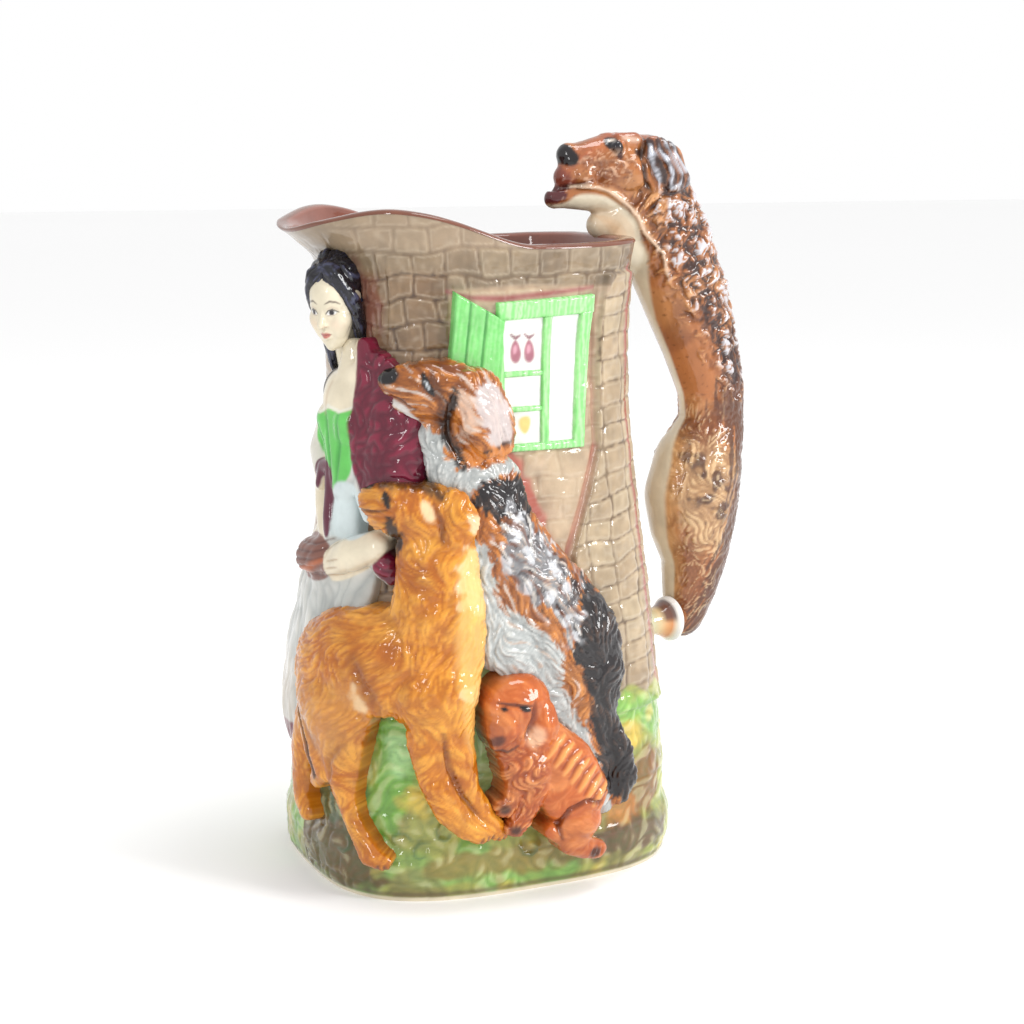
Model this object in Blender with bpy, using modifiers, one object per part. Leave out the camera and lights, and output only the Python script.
"""Ceramic figural jug: a hollow, squarish, waisted body with a pulled spout, carved with a woman, three dogs
and a shuttered window in a brick wall, and a handle modelled as a long dog that looks over the rim.

Metres, +Z up. The origin is the centre of the underside. The spout points to -X, the handle to +X, and the side
with the dogs faces -Y. The whole jug is one slip-cast piece, so it is one solid.
"""

import math

import bmesh
import bpy
import numpy as np

# Body
BODY_HEIGHT = 0.1753
FOOT_LENGTH = 0.1035
FOOT_WIDTH = 0.086
WAIST_LENGTH = 0.0795
WAIST_WIDTH = 0.066
WAIST_HEIGHT = 0.150
MOUTH_LENGTH = 0.0885
MOUTH_WIDTH = 0.074
FOOT_ROUNDING = 0.002
FOOT_ROUNDING_HEIGHT = 0.008
WALL = 0.0045
FLOOR_THICKNESS = 0.006
FLOOR_CORNER = 0.008
SQUARENESS = 3.1

# Rim and spout, heights above the body's plain rim at its sides
SPOUT_TIP_RISE = 0.0042
PEAK_RISE = 0.0095
PEAK_ANGLE = math.radians(38)
PEAK_FADE_ANGLE = math.radians(95)
HANDLE_RISE = 0.0010
SPOUT_REACH = 0.0135
SPOUT_HALF_ANGLE = math.radians(24)
SPOUT_DEPTH = 0.0155

# Ground that runs round the foot
GROUND_HEIGHT = 0.015
GROUND_RELIEF = 0.0016

# Relief figures: where each stands on the unrolled wall, how tall it is, and how tall its table draws it
STANDING_DOG_PLACE = -0.040
STANDING_DOG_HEIGHT = 0.1145
STANDING_DOG_DRAWN = 114.5
SITTING_DOG_PLACE = 0.000
SITTING_DOG_HEIGHT = 0.147
SITTING_DOG_DRAWN = 147.0
PUPPY_PLACE = 0.000
PUPPY_HEIGHT = 0.063
PUPPY_DRAWN = 63.0
WOMAN_PLACE = -0.060
WOMAN_HEIGHT = 0.172
WOMAN_DRAWN = 172.0

# Window
WINDOW_LEFT = -0.009
WINDOW_WIDTH = 0.033
WINDOW_SILL = 0.120
WINDOW_HEIGHT = 0.0415
WINDOW_BAR = 0.0030
WINDOW_RELIEF = 0.0016
BAR_STEP = 0.0001
SHUTTER_REACH = 0.0170
SHUTTER_RISE = 0.0090
SHUTTER_RELIEF = 0.0036
BACK_WINDOW_WIDTH = 0.026

# Brick buttress at the corners next to the handle
BUTTRESS_RELIEF = 0.0014
BUTTRESS_TOP_WIDTH = 0.013
BUTTRESS_FOOT_WIDTH = 0.0285
BUTTRESS_CORNER = 0.041
BUTTRESS_TOP = 0.166
BUTTRESS_BOTTOM = 0.047

# Handle: its reach past the waist, its height over the plain rim, and the same sizes as its table draws them
HANDLE_REACH = 0.04825
HANDLE_TOP = 0.0300
HANDLE_FLATTENING = 0.86
HANDLE_DRAWN_WAIST = 39.75
HANDLE_DRAWN_REACH = 48.25
HANDLE_DRAWN_TOP = 205.3
HANDLE_DRAWN_STUB = 61.0
HANDLE_TOP_LOST = 0.0005
STUB_HEIGHT = 0.061
STUB_RADIUS = 0.0065
STUB_FLARE = 0.0022
STUB_LENGTH = 0.0165

# Mesh fineness
COLUMNS = 54
RELIEF_CELL = 0.0023
HANDLE_CELL = 0.0024
KEPT_SHARE = 0.28
SUNK = 0.0022
HULL_POINTS = 90

CLAY = (0.72, 0.62, 0.50, 1.0)


def ease(share):
    """Smooth step from 0 to 1."""
    share = np.clip(share, 0.0, 1.0)
    return share * share * (3.0 - 2.0 * share)


def from_spout(angle):
    """Angle away from the spout, 0 at the spout and pi at the handle."""
    return np.abs(np.angle(np.exp(1j * (angle - math.pi))))


def rim_height(angle):
    away = from_spout(angle)
    to_peak = SPOUT_TIP_RISE + (PEAK_RISE - SPOUT_TIP_RISE) * ease(away / PEAK_ANGLE)
    past_peak = PEAK_RISE * (1.0 - ease((away - PEAK_ANGLE) / (PEAK_FADE_ANGLE - PEAK_ANGLE)))
    rise = np.where(away < PEAK_ANGLE, to_peak, past_peak)
    return BODY_HEIGHT + rise + HANDLE_RISE * ease((away - 1.9) / 0.9)


def half_sizes(height):
    """Half length and half width of the body's section at a height."""
    down = ease((WAIST_HEIGHT - height) / (WAIST_HEIGHT - 0.01))
    up = np.clip((height - WAIST_HEIGHT) / (BODY_HEIGHT + PEAK_RISE - WAIST_HEIGHT), 0.0, 1.2) ** 1.6
    foot = FOOT_ROUNDING * np.clip(1.0 - height / FOOT_ROUNDING_HEIGHT, 0.0, 1.0) ** 2
    sizes = []
    for foot_size, waist_size, mouth_size in (
        (FOOT_LENGTH, WAIST_LENGTH, MOUTH_LENGTH),
        (FOOT_WIDTH, WAIST_WIDTH, MOUTH_WIDTH),
    ):
        full = waist_size + (foot_size - waist_size) * down + (mouth_size - waist_size) * up
        sizes.append(full / 2 - foot)
    return sizes


def section(angle, height):
    """Point of the outer wall's plan at an angle round the axis and a height."""
    half_length, half_width = half_sizes(height)
    c, s = np.cos(angle), np.sin(angle)
    radius = ((np.abs(c) / half_length) ** SQUARENESS + (np.abs(s) / half_width) ** SQUARENESS) ** (
        -1.0 / SQUARENESS
    )
    spout_foot = BODY_HEIGHT + SPOUT_TIP_RISE - SPOUT_DEPTH
    lift = np.clip((height - spout_foot) / SPOUT_DEPTH, 0.0, 1.1) ** 1.6
    radius = radius + SPOUT_REACH * lift * np.exp(-((from_spout(angle) / SPOUT_HALF_ANGLE) ** 2))
    return radius * c, radius * s


def wall_point(angle, height, out):
    """Point at a distance out of the wall, measured square to the wall in plan."""
    small = 1e-3
    x, y = section(angle, height)
    x_next, y_next = section(angle + small, height)
    x_last, y_last = section(angle - small, height)
    along_x, along_y = x_next - x_last, y_next - y_last
    length = np.hypot(along_x, along_y)
    return np.stack([x + along_y / length * out, y - along_x / length * out, height + 0.0 * x], axis=-1)


def unrolled_table():
    """Angles round the body and the length round it at each, from the middle of the side that faces -Y."""
    angle = np.linspace(-math.pi, math.pi, 1801)
    x, y = section(angle, np.full_like(angle, 0.37 * BODY_HEIGHT))
    length = np.concatenate([[0.0], np.cumsum(np.hypot(np.diff(x), np.diff(y)))])
    return angle, length - np.interp(-math.pi / 2, angle, length)


TABLE_ANGLE, TABLE_LENGTH = unrolled_table()
ROUND = TABLE_LENGTH[-1] - TABLE_LENGTH[0]


def wrap(points):
    """Flat points (along the wall, up, out of it) laid round the body."""
    points = np.asarray(points, float)
    along = (points[:, 0] - TABLE_LENGTH[0]) % ROUND + TABLE_LENGTH[0]
    return wall_point(np.interp(along, TABLE_LENGTH, TABLE_ANGLE), points[:, 1], points[:, 2])


def sphere_points(count):
    """Points spread evenly over a unit sphere."""
    index = np.arange(count) + 0.5
    z = 1.0 - 2.0 * index / count
    turn = index * math.pi * (3.0 - math.sqrt(5.0))
    ring = np.sqrt(1.0 - z * z)
    return np.stack([ring * np.cos(turn), z, ring * np.sin(turn)], axis=-1)


SPHERE = sphere_points(HULL_POINTS)


def add_limb(mesh, joints, scale, flat, grounded):
    """Adds a chain of tapered rods. A joint is (along, up, out, radius), each times scale in metres.

    A grounded limb reaches down into the wall below it, as relief that leaves a mould must.
    """
    rounds = []
    for x, up, out, radius in joints:
        centre = np.array([x, up, out]) * scale
        ball = centre + SPHERE * radius * scale * np.array([1.0, 1.0, flat])
        if grounded:
            ball[:, 2] = np.maximum(ball[:, 2], -SUNK)
            ball = np.concatenate([ball, ball * [1, 1, 0] - [0, 0, SUNK]])
        rounds.append(ball)
    if len(rounds) == 1:
        rounds.append(rounds[0])
    for first, second in zip(rounds, rounds[1:]):
        shell = bmesh.new()
        for point in np.concatenate([first, second]):
            shell.verts.new(point)
        bmesh.ops.remove_doubles(shell, verts=shell.verts, dist=1e-7)
        hull = bmesh.ops.convex_hull(shell, input=shell.verts)
        loose = [v for v in hull["geom_interior"] if isinstance(v, bmesh.types.BMVert)]
        bmesh.ops.delete(shell, geom=loose, context="VERTS")
        piece = bpy.data.meshes.new("limb")
        shell.to_mesh(piece)
        shell.free()
        mesh.from_mesh(piece)
        bpy.data.meshes.remove(piece)


def evaluated_copy(obj):
    """Mesh of an object with its modifiers applied."""
    graph = bpy.context.evaluated_depsgraph_get()
    return bpy.data.meshes.new_from_object(obj.evaluated_get(graph))


def melted(name, limbs, scale, cell, grounded):
    """Limbs melted into one skin by a voxel remesh, then thinned out. The object returned still lies flat."""
    mesh = bmesh.new()
    for joints, flat in limbs:
        add_limb(mesh, joints, scale, flat, grounded)
    data = bpy.data.meshes.new(name)
    mesh.to_mesh(data)
    mesh.free()
    obj = bpy.data.objects.new(name, data)
    HELPERS.objects.link(obj)
    remesh = obj.modifiers.new("Melt", "REMESH")
    remesh.mode = "VOXEL"
    remesh.voxel_size = cell
    relax = obj.modifiers.new("Relax", "SMOOTH")
    relax.iterations = 2
    relax.factor = 0.5
    thin = obj.modifiers.new("Thin", "DECIMATE")
    thin.ratio = KEPT_SHARE
    obj.data = evaluated_copy(obj)
    obj.modifiers.clear()
    bpy.data.meshes.remove(data)
    return obj


def move_points(obj, change):
    """Moves every vertex of a mesh by a function of all their places."""
    points = np.empty(len(obj.data.vertices) * 3, np.float32)
    obj.data.vertices.foreach_get("co", points)
    moved = change(points.reshape(-1, 3).astype(float))
    obj.data.vertices.foreach_set("co", np.asarray(moved, np.float32).ravel())
    obj.data.update()


def relief(name, limbs, place, scale):
    """A carved figure, melted flat and laid round the body."""
    obj = melted(name, limbs, scale, RELIEF_CELL, True)
    move_points(obj, lambda points: wrap(points + [place, 0, 0]))
    turn_outward(obj.data)
    return obj


def slab(name, corners, left_relief, right_relief, columns):
    """A flat-faced slab on the wall between four corners: lower left, lower right, upper right, upper left."""
    mesh = bmesh.new()
    bmesh.ops.create_cube(mesh, size=1.0)
    upright = [e for e in mesh.edges if abs(e.verts[0].co.x - e.verts[1].co.x) > 0.5]
    bmesh.ops.subdivide_edges(mesh, edges=upright, cuts=columns - 1)
    upright = [e for e in mesh.edges if abs(e.verts[0].co.y - e.verts[1].co.y) > 0.5]
    bmesh.ops.subdivide_edges(mesh, edges=upright, cuts=3)
    data = bpy.data.meshes.new(name)
    mesh.to_mesh(data)
    mesh.free()
    obj = bpy.data.objects.new(name, data)
    HELPERS.objects.link(obj)
    low_left, low_right, top_right, top_left = (np.array(c, float) for c in corners)

    def spread(points):
        across = points[:, 0:1] + 0.5
        upward = points[:, 1:2] + 0.5
        low = low_left + (low_right - low_left) * across
        top = top_left + (top_right - top_left) * across
        flat = low + (top - low) * upward
        relief_there = left_relief + (right_relief - left_relief) * across[:, 0]
        out = np.where(points[:, 2] > 0, relief_there, -SUNK)
        return wrap(np.column_stack([flat, out]))

    move_points(obj, spread)
    turn_outward(obj.data)
    return obj


def turn_outward(data):
    mesh = bmesh.new()
    mesh.from_mesh(data)
    bmesh.ops.recalc_face_normals(mesh, faces=mesh.faces)
    mesh.to_mesh(data)
    mesh.free()


def ground_relief(height):
    """How far the ground stands proud of the wall near the foot."""
    return GROUND_RELIEF * ease((GROUND_HEIGHT - height) / (0.3 * GROUND_HEIGHT) + 0.5)


def hollow_body():
    """Loft of the outer wall, the rim, the inner wall and the floor, as one closed skin."""
    angle = np.linspace(-math.pi, math.pi, COLUMNS, endpoint=False)
    top = rim_height(angle)
    rings = []
    for share in (0.0, 0.02, 0.05, 0.09, 0.17, 0.3, 0.45, 0.6, 0.74, 0.84, 0.9, 0.95, 0.99):
        height = share * top
        rings.append(wall_point(angle, height, ground_relief(height)))
    rings.append(wall_point(angle, top, -0.25 * WALL))
    rings.append(wall_point(angle, top, -0.7 * WALL))
    for share in (0.99, 0.95, 0.89, 0.78, 0.56, 0.32, 0.1):
        height = FLOOR_THICKNESS + (top - FLOOR_THICKNESS) * share
        rings.append(wall_point(angle, height, -WALL))
    floor = np.full_like(top, FLOOR_THICKNESS)
    rings.append(wall_point(angle, floor + 0.4 * FLOOR_CORNER, -WALL - 0.1 * FLOOR_CORNER))
    rings.append(wall_point(angle, floor, -WALL - FLOOR_CORNER))

    mesh = bmesh.new()
    loops = [[mesh.verts.new(point) for point in ring] for ring in rings]
    for below, above in zip(loops, loops[1:]):
        for i in range(COLUMNS):
            j = (i + 1) % COLUMNS
            mesh.faces.new((below[i], below[j], above[j], above[i]))
    mesh.faces.new(loops[0][::-1])
    mesh.faces.new(loops[-1])
    bmesh.ops.recalc_face_normals(mesh, faces=mesh.faces)
    data = bpy.data.meshes.new("jug")
    mesh.to_mesh(data)
    mesh.free()
    obj = bpy.data.objects.new("jug", data)
    PARTS.objects.link(obj)
    return obj


def standing_dog():
    """A long-coated dog that stands to the right and turns its head back. Joints in millimetres as drawn."""
    return [
        # skull, muzzle and lower jaw
        ([(9, 106.5, 9, 8.2), (3, 107.5, 9.5, 7.0)], 0.65),
        ([(4, 109, 10.2, 5.6), (-2.5, 110.8, 10.2, 4.2)], 0.85),
        ([(5, 105.5, 8.5, 4.8), (-1.5, 106.6, 8.5, 3.4)], 0.8),
        # ear
        ([(14, 110, 12.5, 3.6), (15.8, 105, 13, 4.4), (14.8, 99, 12.5, 3.0)], 0.6),
        # neck and chest
        ([(11, 100, 8, 9), (11, 96, 8, 9.6), (11.6, 88, 8, 10), (12, 80, 7.5, 11)], 0.6),
        ([(12, 80, 7.5, 11), (11.5, 70, 7, 11.5), (10.5, 60, 6.5, 11)], 0.52),
        # barrel and rump
        ([(8, 67, 6.5, 12.5), (0, 67, 6.2, 14.6), (-10, 66, 6, 14.2), (-17, 64, 6, 12.5)], 0.42),
        ([(-17, 64, 6, 12.5), (-19, 60, 5.5, 11)], 0.45),
        # near hind leg
        ([(-15, 56, 6, 11.5), (-12, 52, 6.5, 10.5), (-9.5, 42, 6.5, 7.5), (-7.5, 33, 6, 4.9)], 0.65),
        ([(-7.5, 33, 6, 4.8), (-6.8, 28, 6, 3.9), (-4.5, 21, 6, 3.7)], 0.95),
        ([(-4.5, 21, 6, 3.7), (-3, 16, 6, 3.7), (0.6, 12.8, 6.3, 3.6)], 0.95),
        # far hind leg and tail
        ([(-26, 46, 3.5, 5.2), (-29, 34, 3.5, 4.4), (-29, 26, 3.5, 4.0), (-25.5, 20.5, 3.5, 3.4)], 0.8),
        ([(-29, 56, 4.5, 3.4), (-23, 46, 4, 3.4), (-18, 38, 3.5, 3.2), (-13.5, 32, 3.2, 3.0)], 0.8),
        # fore legs
        ([(11.5, 60, 7, 10), (12, 52, 7.8, 7), (10, 45, 8, 4.8), (12.2, 35, 8, 4.4)], 0.75),
        ([(12.2, 35, 8, 4.4), (15, 27.5, 8, 4.2), (18.5, 23, 8, 3.7), (21.5, 21, 7.5, 3.4)], 0.9),
        ([(14.5, 54, 6.5, 6), (16, 45, 6.6, 4.8), (18, 33, 6.8, 4.0), (26, 21, 6.4, 3.3)], 0.85),
    ]


def sitting_dog():
    """A collie that sits with its back to the handle and looks to the woman. Joints in millimetres as drawn."""
    return [
        # skull, muzzle and lower jaw
        ([(-27, 138, 8, 8.4), (-32, 139, 8.5, 7.0)], 0.65),
        ([(-33, 140, 8.8, 5.6), (-39, 140.6, 8.8, 4.5)], 0.85),
        ([(-33, 134.6, 7, 4.4), (-38, 134.8, 7, 3.0)], 0.8),
        # ear, and the mane behind it
        ([(-23, 141, 12, 3.4), (-21, 133.5, 12.5, 5.0), (-18.4, 127, 12, 4.6), (-17, 123.5, 11.5, 3.2)], 0.55),
        ([(-19, 137, 7.5, 7.0), (-14.5, 130, 7.5, 6.6), (-13, 125, 7, 5.2)], 0.6),
        # throat and chest
        ([(-24, 128, 6, 7.2), (-20, 118, 5.5, 9), (-16, 108, 5.5, 10.5), (-11, 98, 5.5, 11.5)], 0.52),
        ([(-13, 92, 5.5, 7), (-13, 80, 5, 7), (-12, 70, 4.5, 7)], 0.55),
        # back and haunch
        ([(-14, 112, 5.5, 9.5), (-13, 104, 5.5, 10), (-9, 95, 5.5, 12), (-3, 86, 5.5, 13)], 0.48),
        ([(-3, 86, 5.5, 13), (3, 78, 5.5, 13.5), (8, 70, 5, 13), (11, 62, 4.8, 10.8)], 0.46),
        ([(11, 62, 4.8, 10.8), (12, 54, 4.4, 8.5), (12.6, 44, 4, 6), (14, 34, 3.6, 4.6)], 0.5),
        # belly and hind leg
        ([(-9, 72, 4.5, 10), (-2, 64, 4.2, 7.5), (5, 52, 4.2, 5.4), (10, 42, 4, 4.6)], 0.55),
        ([(10, 42, 4, 4.6), (14, 32, 3.8, 4.2), (16, 23, 3.6, 3.6)], 0.7),
        # tail
        ([(17, 46, 4, 3.8), (20, 36, 4.2, 3.8), (20.6, 29, 4.4, 4.2), (19.6, 24.6, 4, 3.2)], 0.75),
    ]


def puppy():
    """A puppy that sits at the feet of the others. Joints in millimetres as drawn."""
    return [
        # head, muzzle and ear
        ([(-10, 55, 8.5, 8.0), (-8, 55.5, 8.5, 7.6)], 0.7),
        ([(-12.6, 50.5, 9.6, 5.4), (-13.4, 46.5, 9.4, 4.0)], 0.85),
        ([(-3.4, 53, 12, 3.6), (-3.2, 49, 12.4, 4.2), (-4, 45, 11.5, 3.0)], 0.6),
        # chest, body and haunch
        ([(-9, 44, 8, 6.2), (-6.4, 37, 8, 7.2)], 0.7),
        ([(-3, 44, 7.2, 7.2), (3, 37, 7.2, 8.7), (6, 29, 6.8, 9.4)], 0.62),
        ([(7, 21, 7.2, 6.8)], 0.85),
        # hind feet and fore legs
        ([(5, 15.4, 7.8, 4.2), (9, 12.6, 7.2, 3.8), (12.5, 11.4, 6.4, 3.4)], 0.8),
        ([(-0.5, 19, 8, 2.8), (2.5, 17.2, 8.2, 3.0)], 0.9),
        ([(-9, 35, 8.4, 3.8), (-11, 29.6, 8.6, 3.3), (-13, 27.4, 8.6, 3.1)], 0.85),
        ([(-4.6, 33, 9, 4.2), (-7.6, 25.6, 9, 3.3), (-10.4, 21.6, 8.8, 3.1)], 0.85),
    ]


def woman():
    """A woman in a shawl who feeds the dogs from a bowl. Joints in millimetres as drawn."""
    return [
        # head, hair and neck
        ([(-2.6, 160.3, 6.3, 7.2), (-3.0, 155, 7.6, 5.0)], 0.85),
        ([(-1.4, 166, 4.2, 6.6), (-6.6, 161, 3.6, 4.0), (-6.4, 154, 3.0, 2.4)], 0.75),
        ([(3.2, 163, 4.0, 4.6), (5.4, 156, 3.8, 3.2), (4.8, 150, 3.2, 2.4)], 0.8),
        ([(3, 152, 4, 3.8), (2.4, 145, 4.2, 3.8), (2, 138, 4, 4.6)], 0.9),
        # shoulders, bust and bodice
        ([(-6, 136, 3, 4.4), (1, 139, 3.4, 5.0), (8, 141, 3, 4.8)], 0.75),
        ([(-4.4, 128, 5.2, 4.8), (5, 128, 5.2, 4.6)], 0.9),
        ([(0, 134, 4, 8.6), (0, 124, 4, 8), (3.5, 113, 4, 6.6)], 0.6),
        # far sleeve and the forearm that holds the bowl
        ([(-10, 129, 3.4, 4.6), (-14, 119.5, 3.6, 5.6), (-9, 115.5, 4.2, 5.2)], 0.75),
        ([(-10, 112, 4.2, 3.6), (-7, 105, 4.8, 3.4), (1, 96, 6, 3.0)], 0.9),
        ([(-15, 90.6, 6, 2.6), (-11, 91.4, 6.4, 3.4), (-6, 91.4, 7.4, 5.2), (-1.6, 92.4, 7, 5.0)], 0.85),
        # arm held out to the dog
        ([(3, 91, 6.6, 3.8), (10, 94.5, 6.8, 4.4), (15.5, 97, 6.4, 4.0)], 0.8),
        # shawl and its tail
        ([(15, 148, 3, 3.0), (17, 140, 3.4, 5.4), (17.5, 130, 3.6, 8.0), (17.5, 121, 3.6, 8.6)], 0.55),
        ([(17.5, 121, 3.6, 8.6), (17, 112, 3.8, 7.8), (19, 104, 4, 4)], 0.55),
        ([(10, 148, 4.4, 3.0), (9.5, 138, 5.2, 3.6), (10, 126, 5.4, 4), (10, 116, 5.2, 3.4)], 0.6),
        ([(10, 117, 4.8, 3.4), (11.4, 110, 5.4, 3.0), (13.6, 104.4, 5.8, 2.4)], 0.7),
        # skirt
        ([(2, 111, 3.6, 6.4), (0, 100, 3.2, 9), (-4, 90, 2.6, 13)], 0.42),
        ([(-4, 90, 2.6, 13), (-8, 78, 2.4, 16), (-12, 60, 2, 18)], 0.3),
        ([(-12, 60, 2, 18), (-16, 40, 1.6, 19), (-18, 20, 1.2, 19)], 0.22),
    ]


def handle_dog():
    """A long dog stretched from the rim to the lower body. Joints (across, up, side, radius) in millimetres."""
    limbs = [
        # skull, muzzle and lower jaw
        ([(54, 195.6, 0, 10.0), (47, 196.4, 0, 8.9), (42, 197.4, 0, 7.9)], 1.0),
        ([(42, 197.6, 0, 7.4), (36, 197, 0, 5.8), (29.4, 197.6, 0, 4.5)], 1.0),
        ([(32, 192.8, 0, 4.8), (28.4, 192.6, 0, 3.8)], 1.1),
        ([(46, 188, 0, 7.2), (35, 187.6, 0, 5.0), (24.8, 186.6, 0, 3.2)], 1.0),
        # neck, chest, loin and haunch
        ([(56, 190, 0, 11.2), (58.2, 183, 0, 12.4), (62.4, 171, 0, 13.4), (68.4, 157.5, 0, 12.8)], 1.0),
        ([(68.4, 157.5, 0, 12.8), (73, 144, 0, 11.6), (76.3, 131, 0, 11.2), (77, 119, 0, 11.4)], 1.0),
        ([(77, 119, 0, 11.4), (73, 107, 0, 13.8), (71.2, 98, 0, 14.8), (71.4, 90, 0, 13.4)], 1.0),
        ([(71.4, 90, 0, 13.4), (72.4, 80, 0, 10.4), (69.2, 70, 0, 9.4), (63.8, 59.5, 0, 7.2)], 1.0),
        # throat down to the rim
        ([(52, 183, 0, 10.4), (44, 179.6, 0, 7.0), (40, 180, 0, 5.0)], 1.0),
        ([(60, 171, 0, 10.5), (47.5, 171.5, 0, 6.2), (44, 172.5, 0, 5.2)], 1.0),
    ]
    # brow, cheek and ear on each side
    for side in (-1, 1):
        limbs += [
            ([(43.5, 203.0, 4.6 * side, 2.9), (47.5, 203.0, 5.4 * side, 3.2)], 1.0),
            ([(47, 193.5, 5.0 * side, 6.2), (41, 192.6, 3.8 * side, 5.0)], 1.0),
            ([(52.5, 200.5, 8.4 * side, 3.4), (56.5, 196.8, 10.2 * side, 4.9)], 0.62),
            ([(56.5, 196.8, 10.2 * side, 4.9), (58, 190, 10.2 * side, 3.8)], 0.62),
        ]
    return limbs


def add_handle():
    """Handle dog, placed from the rim's height, the waist and the stub under its hind feet."""
    obj = melted("handle_form", handle_dog(), 0.001, HANDLE_CELL, False)
    waist = WAIST_LENGTH / 2
    top = BODY_HEIGHT + HANDLE_TOP - HANDLE_TOP_LOST

    def stand_up(points):
        across, up, side = points.T * 1000
        share = (up - HANDLE_DRAWN_STUB) / (HANDLE_DRAWN_TOP - HANDLE_DRAWN_STUB)
        past = (across - HANDLE_DRAWN_WAIST) / HANDLE_DRAWN_REACH
        outward = np.where(past > 0, past * HANDLE_REACH, (across - HANDLE_DRAWN_WAIST) / 1000)
        height = STUB_HEIGHT + share * (top - STUB_HEIGHT)
        return np.column_stack([waist + outward, side * HANDLE_FLATTENING / 1000, height])

    move_points(obj, stand_up)
    turn_outward(obj.data)
    return obj


def add_stub():
    """Round stub on the body's end, which the hind feet stand on."""
    start = half_sizes(np.array(STUB_HEIGHT))[0] - SUNK
    length = STUB_LENGTH + SUNK
    mesh = bmesh.new()
    bmesh.ops.create_cone(
        mesh, cap_ends=True, segments=20, radius1=STUB_RADIUS + STUB_FLARE, radius2=STUB_RADIUS, depth=length
    )
    data = bpy.data.meshes.new("stub_form")
    mesh.to_mesh(data)
    mesh.free()
    obj = bpy.data.objects.new("stub_form", data)
    HELPERS.objects.link(obj)
    move_points(
        obj, lambda p: np.column_stack([start + length / 2 + p[:, 2], p[:, 1], STUB_HEIGHT - p[:, 0]])
    )
    turn_outward(obj.data)
    return obj


def window_slabs():
    """Frame bars of the window, its open shutter and the casing over it."""
    left, right = WINDOW_LEFT, WINDOW_LEFT + WINDOW_WIDTH
    low, top = WINDOW_SILL, WINDOW_SILL + WINDOW_HEIGHT
    bar = WINDOW_BAR
    middle = left + 0.50 * WINDOW_WIDTH
    lintel = top - 2.6 * bar
    slabs = [
        ("sill", (left, low, right, low + bar), 4),
        ("lintel", (left, lintel, right, top), 4),
        ("left_stile", (left, low + 0.4 * bar, left + 0.7 * bar, lintel + 0.4 * bar), 1),
        ("middle_stile", (middle - 0.5 * bar, low + 0.4 * bar, middle + 0.5 * bar, lintel + 0.4 * bar), 1),
        ("right_stile", (right - bar, low + 0.4 * bar, right, lintel + 0.4 * bar), 1),
    ]
    for i in (1, 2):
        at = low + bar + (lintel - low - bar) * i / 3
        slabs.append((f"cross_bar_{i}", (left + 0.4 * bar, at - 0.3 * bar, middle, at + 0.3 * bar), 2))
    made = []
    for k, (name, (x0, z0, x1, z1), columns) in enumerate(slabs):
        proud = WINDOW_RELIEF - BAR_STEP * k
        made.append(slab(name, ((x0, z0), (x1, z0), (x1, z1), (x0, z1)), proud, proud, columns))
    hinge_low, hinge_top = low + 2 * bar, lintel + 0.3 * bar
    free = left - SHUTTER_REACH
    shutter = (
        (free, hinge_low - 0.5 * SHUTTER_RISE),
        (left + 0.5 * bar, hinge_low),
        (left + 0.5 * bar, hinge_top),
        (free, hinge_top + SHUTTER_RISE),
    )
    made.append(slab("shutter", shutter, SHUTTER_RELIEF, 1.1 * WINDOW_RELIEF, 3))
    return made


def back_window_slab():
    """Closed shutters on the side that faces +Y."""
    centre = ROUND / 2
    half = BACK_WINDOW_WIDTH / 2
    low, top = WINDOW_SILL, WINDOW_SILL + WINDOW_HEIGHT
    corners = ((centre - half, low), (centre + half, low), (centre + half, top), (centre - half, top))
    return slab("closed_shutters", corners, WINDOW_RELIEF, WINDOW_RELIEF, 4)


def buttress_slabs():
    """Brick buttresses at the two corners next to the handle, wider at the foot."""
    made = []
    for name, side in (("near_buttress", 1), ("far_buttress", -1)):
        middle = 0.0 if side == 1 else ROUND / 2
        inner_top = middle + side * (BUTTRESS_CORNER - BUTTRESS_TOP_WIDTH)
        inner_foot = middle + side * (BUTTRESS_CORNER - BUTTRESS_FOOT_WIDTH)
        outer = middle + side * (BUTTRESS_CORNER + 0.004)
        corners = (
            (inner_foot, BUTTRESS_BOTTOM),
            (outer, BUTTRESS_BOTTOM),
            (outer, BUTTRESS_TOP),
            (inner_top, BUTTRESS_TOP),
        )
        made.append(slab(name, corners, BUTTRESS_RELIEF, BUTTRESS_RELIEF, 5))
    return made


def join_to(obj, others):
    for other in others:
        other.hide_render = True
        other.display_type = "WIRE"
        union = obj.modifiers.new(other.name, "BOOLEAN")
        union.operation = "UNION"
        union.solver = "EXACT"
        union.use_self = True
        union.object = other


def glazed_clay():
    material = bpy.data.materials.new("glazed_clay")
    material.use_nodes = True
    shader = material.node_tree.nodes["Principled BSDF"]
    shader.inputs["Base Color"].default_value = CLAY
    shader.inputs["Roughness"].default_value = 0.12
    shader.inputs["Metallic"].default_value = 0.0
    return material


def new_collection(name):
    collection = bpy.data.collections.new(name)
    bpy.context.scene.collection.children.link(collection)
    return collection


for old in list(bpy.data.objects):
    bpy.data.objects.remove(old)
PARTS = new_collection("Ceramic jug")
HELPERS = new_collection("Forms joined to the jug")

jug = hollow_body()
forms = [
    *buttress_slabs(),
    *window_slabs(),
    back_window_slab(),
    relief("woman_form", woman(), WOMAN_PLACE, WOMAN_HEIGHT / WOMAN_DRAWN),
    relief("sitting_dog_form", sitting_dog(), SITTING_DOG_PLACE, SITTING_DOG_HEIGHT / SITTING_DOG_DRAWN),
    relief("standing_dog_form", standing_dog(), STANDING_DOG_PLACE, STANDING_DOG_HEIGHT / STANDING_DOG_DRAWN),
    relief("puppy_form", puppy(), PUPPY_PLACE, PUPPY_HEIGHT / PUPPY_DRAWN),
    add_stub(),
    add_handle(),
]
join_to(jug, forms)
jug.data.materials.append(glazed_clay())
